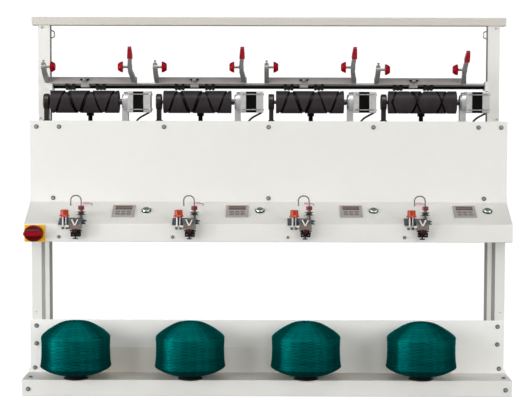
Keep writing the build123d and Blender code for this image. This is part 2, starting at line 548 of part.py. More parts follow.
# ---------------------------------------------------------------- cradles
for i, xs in enumerate(STATION_X):
    drop = CRADLE_DROP[i]
    # cross plate and left arm, one casting
    plate = bx(xs - 186, xs + 198, 351, 357, 1251.5, 1278.5)
    plate = fillet(plate.edges().filter_by(Axis.Y).sort_by(Axis.X)[0:2].sort_by(Axis.Z)[0], 12.0)
    lower = loft([rect_sec(xs - 176.5, 352.5, 1264, 24, 19, 20), rect_sec(xs - 176.5, 300, 1283, 22, 19, 16),
                  rect_sec(xs - 176.5, 262, 1306, 55, 19, 16)], ruled=True)
    upper = loft([rect_sec(xs - 176.5, 262, 1306, 55, 19, 16), rect_sec(xs - 176.5, 250.5, 1324, 70, 18, 15),
                  rect_sec(xs - 176.5, 247.5, 1334, 76, 16, 13)], ruled=True)
    arm = lower + upper + cx(xs - 186, xs - 167, CONE_Y, CONE_Z, 10.5)
    body = plate + arm
    # pin hole for the release arm
    PIN_X, PIN_Z = xs + 187.0, 1264.0
    body -= cy(PIN_X, 350, 358, PIN_Z, 4.0 + FIT)
    body -= cx(xs - 180, xs - 160, CONE_Y, CONE_Z, 5.0)
    # hub on the shaft
    hub_x = xs - 20.5
    hub = cx(hub_x - 17, hub_x + 17, PIV_Y, PIV_Z, 14.0)
    hub += bx(hub_x - 17, hub_x + 17, 357, PIV_Y, 1238, 1262)
    hub -= cx(hub_x - 18, hub_x + 18, PIV_Y, PIV_Z, CRADLE_SHAFT_R + FIT)
    # hub bolt and its clamp knob on the front of the plate
    body -= cy(hub_x, 350, 358, 1266, 3.6)
    knob = cy(hub_x, 343, 351, 1266, 9.5)
    knob += prof_xz([(hub_x - 19, 1272), (hub_x - 17, 1266), (hub_x, 1257), (hub_x + 17, 1266),
                     (hub_x + 19, 1272), (hub_x + 8, 1270), (hub_x, 1275), (hub_x - 8, 1270)], 345, 350.9)
    stud = cy(hub_x, 337, 343, 1266, 5.0)
    stud = fillet(stud.edges().filter_by(GeomType.CIRCLE).sort_by(Axis.Y)[0], 4.0)
    stud += cy(hub_x, 343, 357, 1266, 3.5)
    knob -= cy(hub_x, 342, 352, 1266, 3.5)
    # spindle of the left cone
    sp_l = cx(xs - 180, xs - CONE_BASE + 14, CONE_Y, CONE_Z, 5.0)
    # set screw on top of the left arm
    scr = Pos(xs - 176.5, 247.0, 1335) * Rot(14, 0, 0) * (Pos(0, 0, 2.0) * Cylinder(2.8, 8)
                                                         + Pos(0, 0, 8.0) * Cylinder(5.4, 4.0))
    body -= scr
    node("cradle_%d" % (i + 1), [tilt(q, drop) for q in (body, hub, knob, stud, sp_l, scr)])

    # release arm: boss on the pin, lower lever, upper lever and tang
    boss = cy(PIN_X, 336.2, 350.6, PIN_Z, 10.5)
    lo = loft([rect_sec(xs + 187, 342, 1264, 40, 19, 17), rect_sec(xs + 182, 300, 1285, 25, 18, 15),
               rect_sec(xs + 177.5, 262, 1303, 38, 17, 15)], ruled=True)
    up = loft([rect_sec(xs + 177.5, 262, 1303, 38, 17, 15), rect_sec(xs + 178, 236, 1332, 47, 17, 15),
               rect_sec(xs + 181.1, 213.5, 1355.8, 47, 16, 13)], ruled=True)
    tang = loft([rect_sec(xs + 181, 218, 1351, 47, 11, 8), rect_sec(xs + 182, 190, 1381, 47, 9, 6)], ruled=True)
    rel = boss + lo + up + tang + cx(xs + 168.5, xs + 187, CONE_Y, CONE_Z, 9.5)
    # the lever stops short of the plate it swings past; its own hinge pin
    # runs through the plate and is held by a clip behind it
    rel -= bx(xs + 150, xs + 220, 350.6, 380, 1240, 1290)
    rel += cy(PIN_X, 350.0, 360.5, PIN_Z, 4.0)
    clip = cy(PIN_X, 357.4, 359.0, PIN_Z, 7.5) - cy(PIN_X, 357, 360, PIN_Z, 4.0)
    rel -= cx(xs + 160, xs + 180, CONE_Y, CONE_Z, 5.0)
    sp_r = cx(xs + CONE_BASE - 14, xs + 180, CONE_Y, CONE_Z, 5.0)
    grip = loft([rect_sec(xs + 181.1, 213.5, 1355.8, 47, 22, 17), rect_sec(xs + 181.8, 195, 1376, 47, 19, 15),
                 rect_sec(xs + 182.5, 176, 1396.5, 47, 14, 11)])
    grip = fillet(grip.edges().sort_by(Axis.Z)[-4:], 3.0)
    grip -= rel
    node("release_arm_%d" % (i + 1), [tilt(q, drop) for q in (rel, sp_r, grip, clip)])

    # tube cones: flat base towards the arm, blind bore on the spindle
    def tube_cone(s):
        prof = [(5.0 + FIT, 0), (22.5, 0), (22.5, 3), (20.5, 9), (16.0, 17), (12.5, 20), (0, 20), (0, 14.6), (5.0 + FIT, 14.6)]
        face = make_face(Polyline(*prof, close=True).edges())
        q = revolve(Plane.XZ * face, Axis.Z)
        q = Rot(0, 90 if s < 0 else -90, 0) * q
        return Pos(xs + s * CONE_BASE, CONE_Y, CONE_Z) * q
    node("cone_left_%d" % (i + 1), tilt(tube_cone(-1), drop))
    node("cone_right_%d" % (i + 1), tilt(tube_cone(1), drop))

# ---------------------------------------------------------------- panel meters
meters = []
for x in METER_X:
    pl = on_slope(x, 92.8)
    m = Pos(0, 0, 3.0) * Box(90, 90, 6.0)
    m = pl * chamfer(m.edges().group_by(Axis.Z)[-1], 1.2)
    m += pl * (Pos(0, 0, -26) * Box(82, 76, 52))
    # display window and six keys, sunk and raised in the moulding
    m -= pl * (Pos(0, 21, 5.4) * Box(68, 28, 2.4))
    for kx in (-22, 0, 22):
        for ky in (-9, -28):
            m += pl * (Pos(kx, ky, 6.4) * Box(16, 11, 1.6))
    meters.append(m)
node("panel_meters", meters)

# ---------------------------------------------------------------- push buttons
bezels = []
BTN_R = 10.5                                     # stem of the button
HEAD_R = 13.4                                    # its head
for i, x in enumerate(BUTTON_X):
    pl = on_slope(x, 100.0)
    b = Pos(0, 0, 2.7) * Cylinder(19.3, 5.4) + Pos(0, 0, 7.2) * Cone(17.0, 15.0, 3.6)
    b -= Pos(0, 0, 6.0) * Cylinder(HEAD_R + 0.4, 8.4)
    b -= Pos(0, 0, 0.0) * Cylinder(BTN_R + 0.4, 10.0)
    b += Pos(0, 0, -21) * Cylinder(14.0, 42) - Pos(0, 0, -12) * Cylinder(BTN_R + 0.4, 30.0)
    bezels.append(pl * b)
    head = Pos(0, 0, 7.7) * Cylinder(HEAD_R, 3.4)
    head = fillet(head.edges().sort_by(Axis.Z)[-1], 1.6)
    cap = head + Pos(0, 0, 1.5) * Cylinder(BTN_R, 11.0) + Pos(0, 0, -12) * Cylinder(4.0, 18.0)
    node("push_button_%d" % (i + 1), pl * cap)
node("button_bezels", bezels)

# ---------------------------------------------------------------- main switch
SW_X, SW_Z = -926.6, 653.5
plate = bx(SW_X - 40.7, SW_X + 40.7, 1.0, 6.0, 619.6, 687.0)
plate = fillet(plate.edges().filter_by(Axis.Y), 4.0)
plate -= cy(SW_X, 0, 7, SW_Z, 6.4)
node("switch_plate", plate)
# oval handle: a skirt, a domed body and two scooped finger recesses that
# leave a grip bar across it; the bar's pointer end passes the skirt
def egg(rx, rz, y):
    return Plane(origin=(SW_X - 4.0, y, SW_Z), x_dir=(1, 0, 0), z_dir=(0, -1, 0)) * Ellipse(rx, rz)


knob = extrude(egg(38.8, 32.7, 0.7), 7.7)
knob += loft([egg(38.0, 31.9, -7.0), egg(35.0, 29.0, -20.0), egg(27.0, 23.5, -31.0)])
for sz in (-1, 1):
    knob -= Pos(SW_X - 4.0, -40.0, SW_Z + sz * 27.0) * Rot(0, 90, 0) * Cylinder(21.0, 90.0) - bx(
        SW_X - 60, SW_X + 60, -80, 0, SW_Z - 7.5, SW_Z + 7.5)
bar = bx(SW_X - 41.5, SW_X + 28.0, -31.0, -7.2, SW_Z - 7.5, SW_Z + 7.5)
bar = fillet(bar.edges().filter_by(Axis.Y), 5.0)
bar = fillet(bar.edges().group_by(Axis.Y)[0], 2.0)
knob += bar
knob += cy(SW_X, 0.5, 24, SW_Z, 6.0)
node("switch_knob", knob)

# electrical pieces inside the cabinet and the shelf: contact block of the
# switch, one drive box per motor, power supply
block = bx(SW_X - 24, SW_X + 24, 8.5, 52, SW_Z - 27, SW_Z + 24) - cy(SW_X, 8, 26, SW_Z, 6.5)
elec = [block]
for pts in cable_pts:
    x = pts[-1][0]
    elec.append(bx(x - 55, x + 55, DRUM_Y - 25, DRUM_Y + 75, 760, pts[-1][2]))
elec.append(bx(-100, 100, 330, 440, 760, 820))
node("cabinet_electrics", elec)

# ---------------------------------------------------------------- tension units
plates, housings, hooks, whites, tcaps, eyes = [], [], [], [], [], []
EYE_DX = [0.0, 0.0, -10.0, -24.0]               # the eyelets stand unevenly
for i, tx in enumerate(TENSION_X):
    # bracket plate: lies over the lower slope, folded down at the front; its
    # right end is notched and its rear edge falls away to the right
    out_line = [(-26.5, 0), (82, 0), (71, 12), (84, 24), (60, 37), (20, 44), (-26.5, 44)]
    pl = on_slope(tx, 6.0, 2.0)
    face = make_face(Polyline(*[(p[0], p[1] - 4.0) for p in out_line], close=True).edges())
    tp = extrude(pl * face, 3.0)
    # spacers under it
    for dx in (-15, 55):
        tp += pl * (Pos(dx, 18, -1.0) * Cylinder(6.0, 2.0))
    # front flange standing 2 mm off the shelf face, deeper behind the housing
    tp += bx(tx - 26.5, tx + 58, FLANGE_Y, 2.5, 687.0, 695.0)
    tp += bx(tx + 28, tx + 60, FLANGE_Y, 2.5, 650, 688)
    tp += bx(tx + 32, tx + 56, 2.4, 6.0, 662, 672)
    # upright block that the cap rests on, behind the two pins
    tp += bx(tx - 14, tx + 14, -4.0, 3.0, 687.5, 721.5)
    plates.append(tp)
    # yarn clearer housing in front of the flange, with its V mouth
    hs = prof_xz([(tx + 17, 711), (tx + 68, 711), (tx + 66, 697), (tx + 68, 692), (tx + 69, 675),
                  (tx + 64, 672), (tx + 20, 672), (tx + 17, 680), (tx + 19, 697)], -30, -0.5)
    hs -= prof_xz([(tx + 28, 714), (tx + 58, 714), (tx + 47, 688), (tx + 39, 688)], -32, -14)
    # neck and lower block with two eyes, and a short cross bar over it
    hs += bx(tx + 31, tx + 58, -26, 0.0 - 0.5, 655, 673)
    hs += bx(tx + 22, tx + 68, -20, -4, 664.0, 668.0)
    hs += prof_xz([(tx + 25, 661.0), (tx + 65, 661.0), (tx + 64, 643), (tx + 26, 643)], -24, -0.5)
    for dx in (33.0, 57.0):
        hs -= cy(tx + dx, -26, 1, 652.0, 4.2)
    # turned adjusting knob under the mouth, and the small ring under the block
    kn = cy(tx + 44, -39, -26, 667.0, 8.5)
    kn = fillet(kn.edges().filter_by(GeomType.CIRCLE).sort_by(Axis.Y)[0], 2.0)
    ringp = cz(tx + 43, -11, 633.0, 636.5, 10.5) + cz(tx + 43, -11, 636.0, 643.0, 3.0)
    housings.append([hs, kn, ringp])
    # V guide, two pins below the cap and the small disc
    vg = prof_xz([(tx + 28.6, 712), (tx + 33.6, 712), (tx + 43, 692.5), (tx + 52.6, 712), (tx + 57.4, 712),
                  (tx + 47.2, 688.4), (tx + 38.8, 688.4)], -34, -15)
    roller = cx(tx + 7.5, tx + 20.5, -34.6, 685.0, 4.4)
    roller = fillet(roller.edges().filter_by(GeomType.CIRCLE), 1.5)
    wh = [vg, roller, cz(tx - 6.5, -8, 682, 722, 3.4), cz(tx + 6.5, -8, 682, 722, 3.4)]
    whites.append(wh)
    # cap on the pins
    cp = cz(tx, -8, 721.5, 724.5, 20.5) + cz(tx, -8, 724.5, 729, 20.5, 16.8) + cz(tx, -8, 729, 749, 16.6, 15.6)
    cp = fillet(cp.edges().filter_by(GeomType.CIRCLE).sort_by(Axis.Z)[-1], 3.0)
    tcaps.append(cp)
    # tension post, spring and two saucer discs behind, wire crook above
    px_, py_ = tx + 60.0, 41.0
    zb = 712.0
    post = cz(px_, py_, zb, 763.5, 3.0)
    discs = (cz(px_, py_, 725, 731, 20, 9) - cz(px_, py_, 723.4, 729.4, 20, 9)) - cz(px_, py_, 720, 735, 3.02)
    disc2 = (cz(px_, py_, 731.3, 737.3, 9, 20) - cz(px_, py_, 732.9, 738.9, 9, 20)) - cz(px_, py_, 729, 735, 3.02)
    # the crook's wire stands on the post and hooks over to the left
    path = FilletPolyline((px_, py_, 762.5), (px_ - 0.8, py_ + 4, 801.5), (px_ - 43.0, py_ + 8, 801.5),
                          (px_ - 42.5, py_ + 6, 764.5), radius=19.5)
    pl2 = Plane(origin=path @ 0, z_dir=path % 0)
    crook = sweep(pl2 * Circle(2.6), path=path)
    crook += Pos(px_ - 42.5, py_ + 6, 764.0) * Sphere(3.3)
    collar = cz(px_, py_, 710.0, 729.2, 6.0) - cz(px_, py_, 705, 731, 3.02)
    cone_spring = turned([(3.4, 733.2), (8.5, 733.2), (6.8, 745.2), (3.4, 745.2)], px_, py_)
    hooks.append([post + crook, discs, disc2, cone_spring, collar])
    # ceramic eyelet on a stem at the back of the slope
    ex, ey = tx + 66.0 + EYE_DX[i], 138.0
    spath = FilletPolyline((ex + 12.5, ey, 765.6), (ex + 25, ey, 764.0), (ex + 27, ey, 754.5), radius=5)
    pl3 = Plane(origin=spath @ 0, z_dir=spath % 0)
    stem = sweep(pl3 * Circle(1.3), path=spath)
    ring = Pos(ex, ey, 766.0) * Rot(8, 0, 0) * Torus(12.0, 2.3)
    eyes.append(ring + stem)

NODE_POSTS = hooks
# trim every standing piece to the plates and the slope it stands on
shelf_s = shelf
for k in range(4):
    whites[k][0] -= housings[k][0]
    tcaps[k] -= whites[k][2]
    tcaps[k] -= whites[k][3]
    hk = hooks[k]
    hk[4] -= plates[k]
    hk[0] -= plates[k]
    hk[4] -= shelf_s
    hk[0] -= shelf_s
    hk[4] = hk[4].solids().sort_by(Axis.Z)[-1]
    hk[0] = hk[0].solids().sort_by(Axis.Z)[-1]
    eyes[k] -= shelf_s
    eyes[k] = eyes[k].solids().sort_by(Axis.Z)[-1]
node("tension_plates", plates)
node("yarn_clearers", housings)
node("ceramic_guides", whites, eyes)
node("tension_caps", tcaps)
node("tension_hooks", hooks)
for i, tx in enumerate(TENSION_X):
    px_, py_ = tx + 60.0, 41.0
    kn = cz(px_, py_, 745.5, 761.0, 12.6, 12.0) - cz(px_, py_, 740, 770, 3.0 + FIT)
    for a in range(0, 360, 30):
        kn -= Pos(px_, py_, 752) * Rot(0, 0, a) * Pos(13.0, 0, 0) * Cylinder(1.5, 20)
    node("tension_knob_%d" % (i + 1), kn)

# ---------------------------------------------------------------- yarn packages
tubes, yarns = [], []
DOME = [(129.5, 178.2, 0.5), (113, 189.4, 1), (97, 199.6, 1), (81, 209.2, 1), (66, 217.6, 1), (54, 222.8, 0.9),
        (42, 226.3, 0.7), (30, 228.3, 0.5), (19.54, 229.0, 0.45)]
for x, up in zip(PACKAGE_X, (6.5, 4.5, 4.5, 3.0)):
    # the last layers lie a little higher on some packages
    tubes.append(turned([(30, 0), (50, 0), (50, 2.5), (39.5, 13.5), (34, 14.8), (20, 222), (16, 222)],
                        x, PKG_Y, TRAY_Z))
    yarns.append(turned([(33.97, 15.6), (40, 15.2), (56, 16.8), (70, 19.2), (84, 22.5), (98, 26.8), (112, 32.6),
                         (126, 40.0), (137, 47.2), (141.6, 51.0), (142, 53.0), (141.0, 57.5), (139.2, 68), (137.4, 90),
                         (136.6, 115), (136.6, 138), (137.6, 158), (138.2, 166.5), (136.6, 172)]
                        + [(r, z + up * k) for r, z, k in DOME], x, PKG_Y, TRAY_Z))
node("package_tubes", tubes)
node("yarn_packages", yarns)

# ---------------------------------------------------------------- fasteners
node("bolts", BOLTS, LONG_BOLTS)

lo = [1e9] * 3
hi = [-1e9] * 3
for n, ss in NODES.items():
    for s in ss:
        b = s.bounding_box()
        for k, (a, c) in enumerate(zip((b.min.X, b.min.Y, b.min.Z), (b.max.X, b.max.Y, b.max.Z))):
            lo[k] = min(lo[k], a)
            hi[k] = max(hi[k], c)
print("nodes", len(NODES), "box", [round(v, 2) for v in lo], [round(v, 2) for v in hi])
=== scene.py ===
import math
import random

import bmesh
import bpy
from mathutils import Matrix, Vector


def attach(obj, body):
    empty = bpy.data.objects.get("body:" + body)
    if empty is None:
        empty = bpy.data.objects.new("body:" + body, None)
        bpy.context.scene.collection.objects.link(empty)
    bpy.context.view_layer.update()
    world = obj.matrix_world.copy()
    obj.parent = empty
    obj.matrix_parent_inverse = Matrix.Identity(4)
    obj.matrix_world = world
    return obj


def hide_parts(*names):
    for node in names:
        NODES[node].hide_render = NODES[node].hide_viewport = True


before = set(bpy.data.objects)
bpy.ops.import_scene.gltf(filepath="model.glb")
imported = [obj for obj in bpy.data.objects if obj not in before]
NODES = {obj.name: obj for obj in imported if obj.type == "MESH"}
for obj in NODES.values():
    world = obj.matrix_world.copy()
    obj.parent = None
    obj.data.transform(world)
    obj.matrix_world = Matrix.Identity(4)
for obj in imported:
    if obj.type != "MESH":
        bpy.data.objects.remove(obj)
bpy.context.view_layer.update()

# The layout is written in millimetres from the tray's front face, as in the
# CAD; SHIFT moves it to the model's own origin.
SHIFT = -195.75
STATION_X = [-747.6, -290.0, 167.6, 625.2]
TENSION_X = [-806.9, -355.6, 102.3, 565.4]
METER_X = [-582.5, -125.5, 332.1, 788.7]
BUTTON_X = [-491.8, -34.4, 423.0, 881.6]
PACKAGE_X = [-771.1, -312.6, 151.9, 613.6]
PKG_Y, TRAY_Z = 35.0, 67.0
TRAY_DX = -5.0
EYE_DX = [0.0, 0.0, -10.0, -24.0]
DRUM_Y, DRUM_Z, DRUM_R = 203.0, 1175.2, 45.6
PIV_Y, PIV_Z = 380.0, 1249.0
CONE_Y, CONE_Z = 250.0, 1318.2
DROP = [0.0, 0.0, 0.0, 4.0]
SL_B, SL_C = (164.0, 769.0), (6.0, 691.5)
SLOPE = math.atan2(SL_B[1] - SL_C[1], SL_B[0] - SL_C[0])


def P(x, y, z):
    return Vector((x / 1000.0, (y + SHIFT) / 1000.0, z / 1000.0))


# ---------------------------------------------------------------- materials
def lin(c):
    out = []
    for v in c:
        v = v / 255.0
        out.append(v / 12.92 if v <= 0.04045 else ((v + 0.055) / 1.055) ** 2.4)
    return out


class Mat:
    """A small builder for procedural materials."""

    def __init__(self, name):
        self.m = bpy.data.materials.new(name)
        self.m.use_nodes = True
        self.t = self.m.node_tree
        self.t.nodes.clear()
        self.out = self.t.nodes.new("ShaderNodeOutputMaterial")
        self.b = self.t.nodes.new("ShaderNodeBsdfPrincipled")
        self.t.links.new(self.b.outputs[0], self.out.inputs[0])
        self.co = self.t.nodes.new("ShaderNodeTexCoord").outputs["Object"]

    def node(self, kind, **kw):
        n = self.t.nodes.new(kind)
        for k, v in kw.items():
            setattr(n, k, v)
        return n

    def link(self, a, b):
        self.t.links.new(a, b)

    def noise(self, scale, detail=3.0, rough=0.55, co=None, stretch=None):
        n = self.node("ShaderNodeTexNoise")
        n.inputs["Scale"].default_value = scale
        n.inputs["Detail"].default_value = detail
        n.inputs["Roughness"].default_value = rough
        src = co or self.co
        if stretch:
            mp = self.node("ShaderNodeMapping")
            mp.inputs["Scale"].default_value = stretch
            self.link(src, mp.inputs["Vector"])
            src = mp.outputs[0]
        self.link(src, n.inputs["Vector"])
        return n.outputs["Fac"]

    def math(self, op, a, b=None, c=None, clamp=False):
        n = self.node("ShaderNodeMath", operation=op, use_clamp=clamp)
        for i, v in enumerate((a, b, c)):
            if v is None:
                continue
            if isinstance(v, (int, float)):
                n.inputs[i].default_value = v
            else:
                self.link(v, n.inputs[i])
        return n.outputs[0]

    def ramp(self, fac, a, b, lo=0.0, hi=1.0):
        n = self.node("ShaderNodeValToRGB")
        e = n.color_ramp.elements
        e[0].position, e[1].position = lo, hi
        e[0].color, e[1].color = (*a, 1.0), (*b, 1.0)
        self.link(fac, n.inputs[0])
        return n.outputs[0]

    def mix(self, fac, a, b):
        n = self.node("ShaderNodeMix", data_type="RGBA")
        if isinstance(fac, (int, float)):
            n.inputs[0].default_value = fac
        else:
            self.link(fac, n.inputs[0])
        for i, v in ((6, a), (7, b)):
            if isinstance(v, (list, tuple)):
                n.inputs[i].default_value = (*v[:3], 1.0)
            else:
                self.link(v, n.inputs[i])
        return n.outputs[2]

    def span(self, fac, lo, hi, a=0.0, b=1.0):
        n = self.node("ShaderNodeMapRange")
        n.inputs[1].default_value, n.inputs[2].default_value = a, b
        n.inputs[3].default_value, n.inputs[4].default_value = lo, hi
        self.link(fac, n.inputs[0])
        return n.outputs[0]

    def bump(self, height, strength=0.3, dist=0.0005, normal=None):
        n = self.node("ShaderNodeBump")
        n.inputs["Strength"].default_value = strength
        n.inputs["Distance"].default_value = dist
        self.link(height, n.inputs["Height"])
        if normal is not None:
            self.link(normal, n.inputs["Normal"])
        return n.outputs[0]

    def set(self, **kw):
        names = {"color": "Base Color", "rough": "Roughness", "metal": "Metallic", "normal": "Normal",
                 "coat": "Coat Weight", "coat_rough": "Coat Roughness", "spec": "Specular IOR Level",
                 "sheen": "Sheen Weight", "ior": "IOR", "emit": "Emission Color", "power": "Emission Strength",
                 "sheen_rough": "Sheen Roughness", "tint": "Specular Tint"}
        for k, v in kw.items():
            s = self.b.inputs[names[k]]
            if isinstance(v, (list, tuple)):
                s.default_value = (*v[:3], 1.0)
            elif isinstance(v, (int, float)):
                s.default_value = v
            else:
                self.link(v, s)
        return self.m


def plain(name, rgb, rough=0.45, metal=0.0, var=0.05, vscale=9.0, grain=700.0, bump=0.12, rvar=0.06,
          coat=0.0, dist=0.0003, detail=3.0, stretch=None, spec=0.5):
    """Paint, plastic or casting: uneven tone, uneven gloss and a fine grain."""
    m = Mat(name)
    c = lin(rgb)
    a = [max(0.0, v * (1 - var)) for v in c]
    b = [min(1.0, v * (1 + var)) for v in c]
    n1 = m.noise(vscale, detail, stretch=stretch)
    n2 = m.noise(vscale * 7.3, detail)
    both = m.math("ADD", m.math("MULTIPLY", n1, 0.65), m.math("MULTIPLY", n2, 0.35))
    n3 = m.noise(grain, 2.0, stretch=stretch)
    return m.set(color=m.ramp(both, a, b, 0.3, 0.7), rough=m.span(both, rough - rvar, rough + rvar, 0.3, 0.7),
                 metal=metal, coat=coat, spec=spec, normal=m.bump(n3, bump, dist))


M = {}
M["cream"] = plain("cream_paint", (232, 231, 226), rough=0.48, var=0.018, vscale=3.0, grain=1300, bump=0.10, rvar=0.04,
                   spec=0.25)
# painted shade: darker copies of the cream paint for the sides of posts and frames that face the middle; the right-hand
# copy is darker still
M["post_painted_shade"] = plain("post_painted_shade_paint", (120, 110, 106), rough=0.5, var=0.05, vscale=6.0, grain=1300, bump=0.10,
                      rvar=0.04, spec=0.2)
M["cream_painted_shade_right"] = plain("painted_shade_slot_side_right", (178, 177, 172), rough=0.5, var=0.05, vscale=6.0, grain=1300,
                             bump=0.10, rvar=0.04, spec=0.2)
M["cream_painted_shade"] = plain("painted_shade_slot_side", (196, 195, 190), rough=0.5, var=0.05, vscale=6.0, grain=1300, bump=0.10,
                       rvar=0.04, spec=0.2)
M["beam"] = plain("warm_grey_paint", (206, 202, 193), rough=0.48, var=0.02, vscale=3.0, grain=1300, bump=0.10, rvar=0.04)
M["zinc"] = plain("zinc_steel", (172, 171, 168), rough=0.34, metal=0.5, var=0.10, vscale=60, grain=2500, bump=0.08)
M["bolt_dark"] = plain("bolt_washer", (92, 91, 89), rough=0.45, metal=0.4, var=0.12, vscale=80, grain=2500, bump=0.10)
M["bolt_head"] = plain("bolt_head", (196, 196, 194), rough=0.30, metal=0.4, var=0.10, vscale=80, grain=2500, bump=0.06)
M["steel"] = plain("ground_steel", (138, 137, 136), rough=0.36, metal=0.45, var=0.06, vscale=40, grain=1800, bump=0.06,
                   stretch=(0.08, 1.0, 1.0))
M["chrome"] = plain("bright_wire", (92, 89, 86), rough=0.30, metal=0.35, var=0.05, vscale=60, grain=2500, bump=0.03)
M["black"] = plain("black_paint", (14, 12, 13), rough=0.42, var=0.16, vscale=20, grain=1100, bump=0.16, spec=0.05)
M["black_cast"] = plain("black_casting", (34, 33, 33), rough=0.30, var=0.2, vscale=45, grain=650, bump=0.35, dist=0.0005,
                        spec=0.35)
M["brown_cast"] = plain("brown_black_casting", (36, 31, 28), rough=0.34, var=0.22, vscale=40, grain=600, bump=0.35,
                        dist=0.0005, spec=0.3)
M["alu"] = plain("cast_aluminium", (178, 177, 176), rough=0.40, metal=0.35, var=0.13, vscale=62, grain=700, bump=0.30,
                 dist=0.0004)
M["alu_cap"] = plain("motor_cap_aluminium", (189, 188, 187), rough=0.42, metal=0.3, var=0.09, vscale=60, grain=700,
                    bump=0.25, dist=0.0004)
M["cable"] = plain("cable_black", (26, 26, 26), rough=0.55, var=0.15, vscale=60, grain=1500, bump=0.15)
M["white"] = plain("white_plastic", (236, 236, 234), rough=0.42, var=0.02, vscale=20, grain=1200, bump=0.10)
M["meter"] = plain("meter_grey", (166, 160, 151), rough=0.5, var=0.04, vscale=30, grain=1600, bump=0.15, spec=0.25)
# painted shade for the walls around each meter window
M["painted_shade_meter_rim"] = plain("painted_shade_meter_window_edge", (58, 44, 42), rough=0.4, var=0.10, vscale=30, grain=900, bump=0.05, spec=0.2)
M["meter_key"] = plain("meter_key", (118, 116, 122), rough=0.5, var=0.06, vscale=50, grain=1600, bump=0.12, spec=0.25)
M["bezel"] = plain("bezel_black", (20, 21, 20), rough=0.35, var=0.12, vscale=50, grain=1400, bump=0.08, spec=0.2)
# a real bezel ring, painted near white as a painted highlight for the bright near side of the button
M["ring"] = plain("bezel_ring", (232, 234, 232), rough=0.22, metal=0.35, var=0.04, vscale=60, grain=1500, bump=0.03)
M["green"] = plain("button_green", (30, 76, 60), rough=0.26, var=0.08, vscale=60, grain=1500, bump=0.05, coat=0.3)
M["yellow"] = plain("switch_yellow", (242, 188, 30), rough=0.4, var=0.05, vscale=20, grain=1400, bump=0.08, spec=0.2)
# the knob's two reds: deep red is painted shade, the brighter red is a painted highlight
M["red_deep"] = plain("switch_red_deep", (92, 0, 4), rough=0.38, var=0.10, vscale=30, grain=1500, bump=0.05, spec=0.12)
M["red"] = plain("switch_red", (140, 0, 16), rough=0.34, var=0.10, vscale=30, grain=1500, bump=0.05, spec=0.16)
M["drive"] = plain("drive_grey", (150, 152, 154), rough=0.5, var=0.05, vscale=12, grain=900, bump=0.12)
M["slate"] = plain("slate_paint", (66, 76, 88), rough=0.38, var=0.12, vscale=40, grain=1300, bump=0.12, spec=0.25)
M["clearer"] = plain("clearer_grey", (122, 110, 102), rough=0.44, var=0.12, vscale=40, grain=1100, bump=0.18)
M["clearer_top"] = plain("clearer_slate_grey", (88, 88, 88), rough=0.42, var=0.12, vscale=40, grain=1100, bump=0.18)
M["clearer_black"] = plain("clearer_black", (24, 21, 20), rough=0.34, var=0.14, vscale=40, grain=1300, bump=0.10, spec=0.2)
M["dark_knob"] = plain("dark_knob", (66, 20, 26), rough=0.30, var=0.12, vscale=50, grain=1300, bump=0.06, spec=0.3)
M["ceramic"] = plain("guide_ceramic", (226, 220, 210), rough=0.18, var=0.03, vscale=60, grain=1500, bump=0.03, spec=0.4)
M["pin_grey"] = plain("pin_grey_ceramic", (168, 168, 168), rough=0.2, var=0.05, vscale=60, grain=1500, bump=0.03, coat=0.3)
M["pink"] = plain("eyelet_ceramic", (206, 158, 176), rough=0.16, var=0.05, vscale=60, grain=1500, bump=0.03, coat=0.5)
M["orange"] = plain("cap_orange", (178, 50, 6), rough=0.34, var=0.08, vscale=50, grain=1500, bump=0.05, spec=0.25)
M["knob"] = plain("knob_dark_red", (124, 24, 30), rough=0.28, var=0.10, vscale=50, grain=1500, bump=0.05, spec=0.3)
M["tube"] = plain("tube_black", (24, 18, 17), rough=0.4, var=0.15, vscale=30, grain=900, bump=0.10)
M["stator"] = plain("motor_black", (30, 29, 29), rough=0.4, var=0.18, vscale=25, grain=900, bump=0.16)
M["cone"] = plain("cone_red", (154, 0, 20), rough=0.34, var=0.07, vscale=40, grain=1400, bump=0.04, spec=0.05)
M["cone_flat"] = plain("cone_base", (70, 20, 26), rough=0.45, var=0.10, vscale=40, grain=1400, bump=0.06)
M["grip"] = plain("grip_red", (164, 18, 34), rough=0.38, var=0.07, vscale=40, grain=1200, bump=0.07, spec=0.3)
M["cradle"] = plain("cradle_grey", (141, 138, 136), rough=0.40, metal=0.25, var=0.06, vscale=20, grain=900, bump=0.18)
M["hub"] = plain("hub_silver", (178, 178, 176), rough=0.36, metal=0.3, var=0.06, vscale=40, grain=900, bump=0.15)
M["shaft_dark"] = plain("shaft_dark_steel", (84, 80, 78), rough=0.34, metal=0.5, var=0.10, vscale=40, grain=1400, bump=0.08)
# painted shade: the drum's grooves are painted near black
M["groove"] = plain("drum_groove", (9, 7, 8), rough=0.5, var=0.15, vscale=40, grain=900, bump=0.10, spec=0.1)


def drum_material():
    m = Mat("drum_dark_grey")
    n1 = m.noise(16.0, 4.0)
    n2 = m.noise(420.0, 2.0)
    n3 = m.noise(1500.0, 2.0)
    f = m.math("ADD", m.math("MULTIPLY", n1, 0.55), m.math("MULTIPLY", n2, 0.45))
    return m.set(color=m.ramp(f, lin((42, 37, 39)), lin((59, 54, 56)), 0.35, 0.68),
                 rough=m.span(f, 0.42, 0.54, 0.3, 0.7), spec=0.08,
                 normal=m.bump(n3, 0.12, 0.0003))


M["drum"] = drum_material()


def lamination_material():
    """Black painted stack of sheets: fine lines across the motor's length."""
    m = Mat("motor_laminations")
    sep = m.node("ShaderNodeSeparateXYZ")
    m.link(m.co, sep.inputs[0])
    w = m.math("SINE", m.math("MULTIPLY", sep.outputs[0], 2 * math.pi / 0.0011))
    n = m.noise(24.0, 3.0)
    return m.set(color=m.ramp(n, lin((5, 5, 5)), lin((14, 12, 12)), 0.3, 0.7), rough=m.span(n, 0.36, 0.5), spec=0.05,
                 normal=m.bump(w, 0.25, 0.0003))


M["stator"] = lamination_material()


